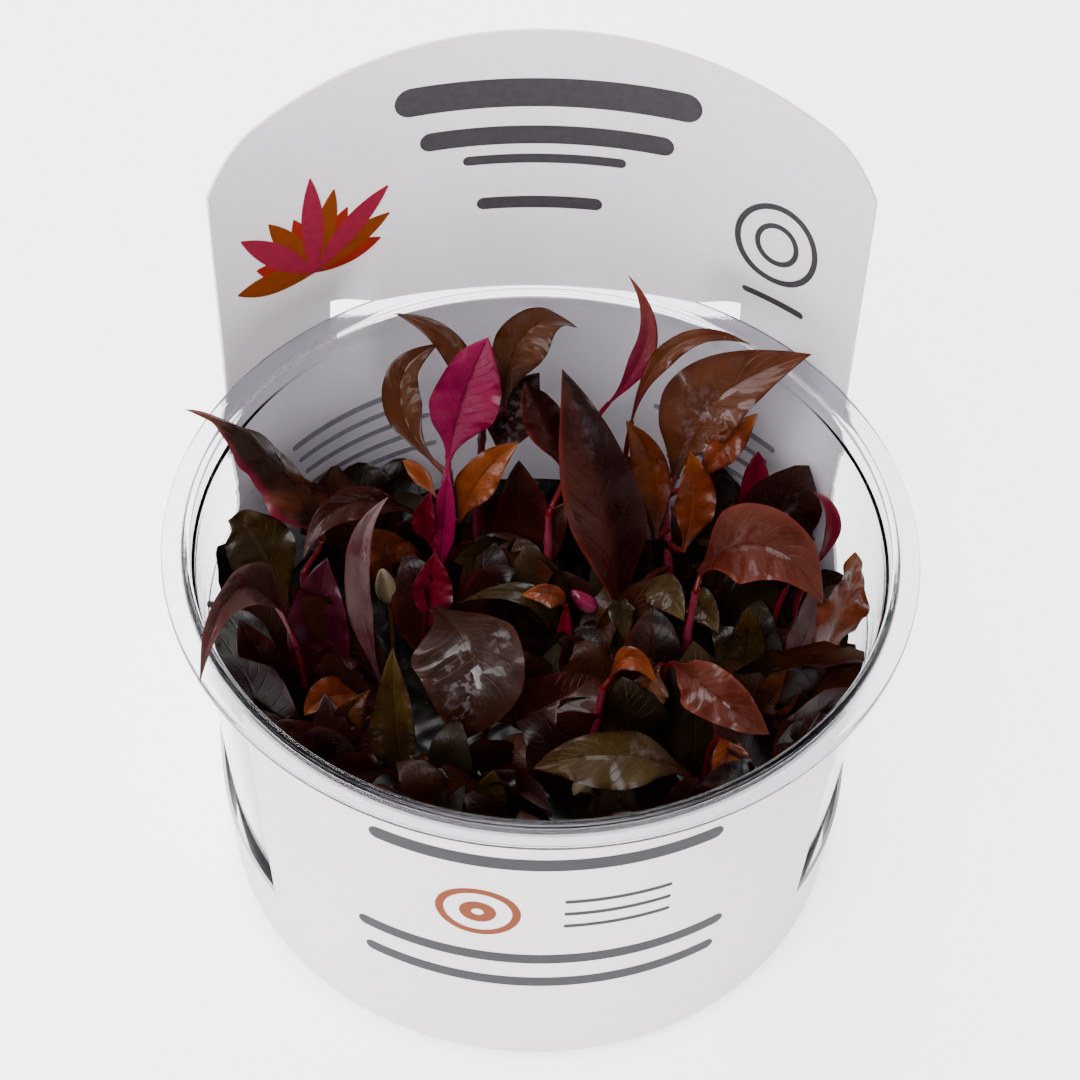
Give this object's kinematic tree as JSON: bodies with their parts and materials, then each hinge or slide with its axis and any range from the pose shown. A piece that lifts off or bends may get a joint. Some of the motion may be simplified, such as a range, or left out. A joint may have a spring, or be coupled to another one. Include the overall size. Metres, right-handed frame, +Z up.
{
  "type": "potted aquarium plant",
  "caption": "Clear tapered plastic cup of black gel with young red-leaved aquarium plants, in a white card sleeve with a tall rounded header.",
  "frame": {"origin": "centre of the cup's flat base, where it rests", "axes": "+Z up along the cup's axis, -Y towards the front of the sleeve, +X to the right seen from the front"},
  "size_m": [0.1, 0.1005, 0.1029],
  "materials": {
    "clear_plastic": "clear, glossy, thin-walled",
    "white_card": "smooth white card, printed with plain bars and shapes",
    "black_gel": "wet black gel with fine specks",
    "stem": "waxy pink stem",
    "leaf_magenta": "waxy, bright magenta with a paler midrib",
    "leaf_crimson": "waxy crimson",
    "leaf_wine": "wet, near-black wine red",
    "leaf_brown": "wet red-brown",
    "leaf_salmon": "wet salmon brown",
    "leaf_olive": "wet olive brown",
    "leaf_orange": "thin orange brown",
    "leaf_mauve": "dull pinkish grey",
    "leaf_cream": "pale cream"
  },
  "bodies": {
    "root": {"bud_cream": "leaf_cream", "bud_light_brown": "leaf_mauve", "bud_pink": "leaf_magenta", "cup": "clear_plastic", "gel_medium": "black_gel", "label_sleeve": "white_card", "leaf_amber_right": "leaf_orange", "leaf_back_arched": "leaf_brown", "leaf_back_curled": "leaf_brown", "leaf_back_narrow": "leaf_orange", "leaf_back_salmon": "leaf_salmon", "leaf_back_thin": "leaf_crimson", "leaf_back_wet": "leaf_wine", "leaf_brown_hang": "leaf_brown", "leaf_centre_big": "leaf_wine", "leaf_centre_right": "leaf_olive", "leaf_dark_left": "leaf_wine", "leaf_far_left": "leaf_brown", "leaf_front_amber": "leaf_orange", "leaf_front_olive": "leaf_olive", "leaf_front_upright": "leaf_olive", "leaf_front_wet": "leaf_wine", "leaf_left_arch": "leaf_brown", "leaf_left_orange": "leaf_orange", "leaf_left_pale": "leaf_mauve", "leaf_left_wall": "leaf_olive", "leaf_main_brown": "leaf_brown", "leaf_main_crimson": "leaf_crimson", "leaf_main_folded": "leaf_crimson", "leaf_main_magenta": "leaf_magenta", "leaf_main_orange": "leaf_orange", "leaf_olive_arm": "leaf_olive", "leaf_olive_glint": "leaf_olive", "leaf_orange_broad": "leaf_orange", "leaf_orange_curl": "leaf_orange", "leaf_pink_grey": "leaf_mauve", "leaf_purple": "leaf_wine", "leaf_red_arch": "leaf_wine", "leaf_red_front": "leaf_salmon", "leaf_right_big": "leaf_salmon", "leaf_right_brown": "leaf_brown", "leaf_right_crimson": "leaf_crimson", "leaf_right_grey": "leaf_mauve", "leaf_right_orange": "leaf_orange", "leaf_right_salmon": "leaf_salmon", "leaf_right_wall": "leaf_orange", "leaf_star_front": "leaf_olive", "leaf_star_right": "leaf_olive", "leaf_wine_low": "leaf_wine", "shoot_back": "leaf_wine", "shoot_front": "leaf_wine", "shoot_left": "leaf_wine", "shoot_right": "leaf_wine", "stem_back": "stem", "stem_front": "stem", "stem_left": "stem", "stem_main": "stem", "stem_mauve": "stem", "stem_right": "stem", "stem_right_front": "stem"}
  },
  "joints": []
}
